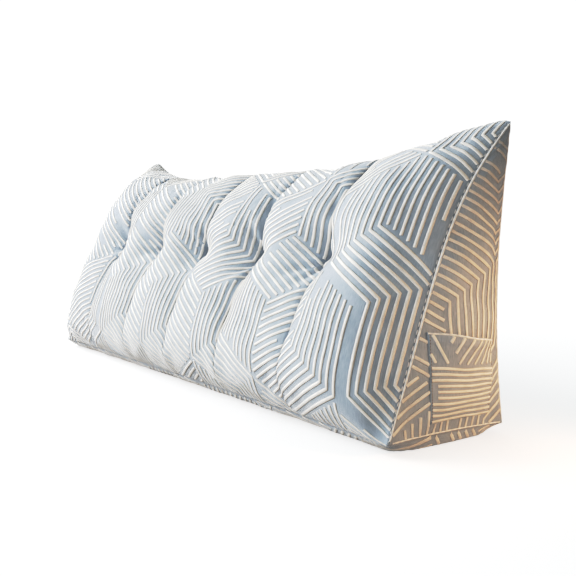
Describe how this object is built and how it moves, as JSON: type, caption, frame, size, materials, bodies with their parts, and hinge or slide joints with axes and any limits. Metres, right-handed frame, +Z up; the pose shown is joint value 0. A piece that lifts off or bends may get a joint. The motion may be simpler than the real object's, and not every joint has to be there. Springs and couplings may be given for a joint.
{
  "type": "backrest pillow",
  "caption": "Long wedge-shaped bed backrest pillow in woven cloth, drawn in by a row of tufts, with a patch pocket on its right end panel.",
  "frame": {"origin": "on the floor under the middle of the whole pillow", "axes": "+X along the pillow towards the end with the pocket, +Y from the sloping front panel to the upright back panel, +Z up"},
  "size_m": [1.255, 0.3174, 0.4945],
  "materials": {
    "jacquard_cloth": "matt woven ground with raised ribs of yarn"
  },
  "bodies": {
    "root": {"cushion": "jacquard_cloth", "pocket": "jacquard_cloth"}
  },
  "joints": []
}
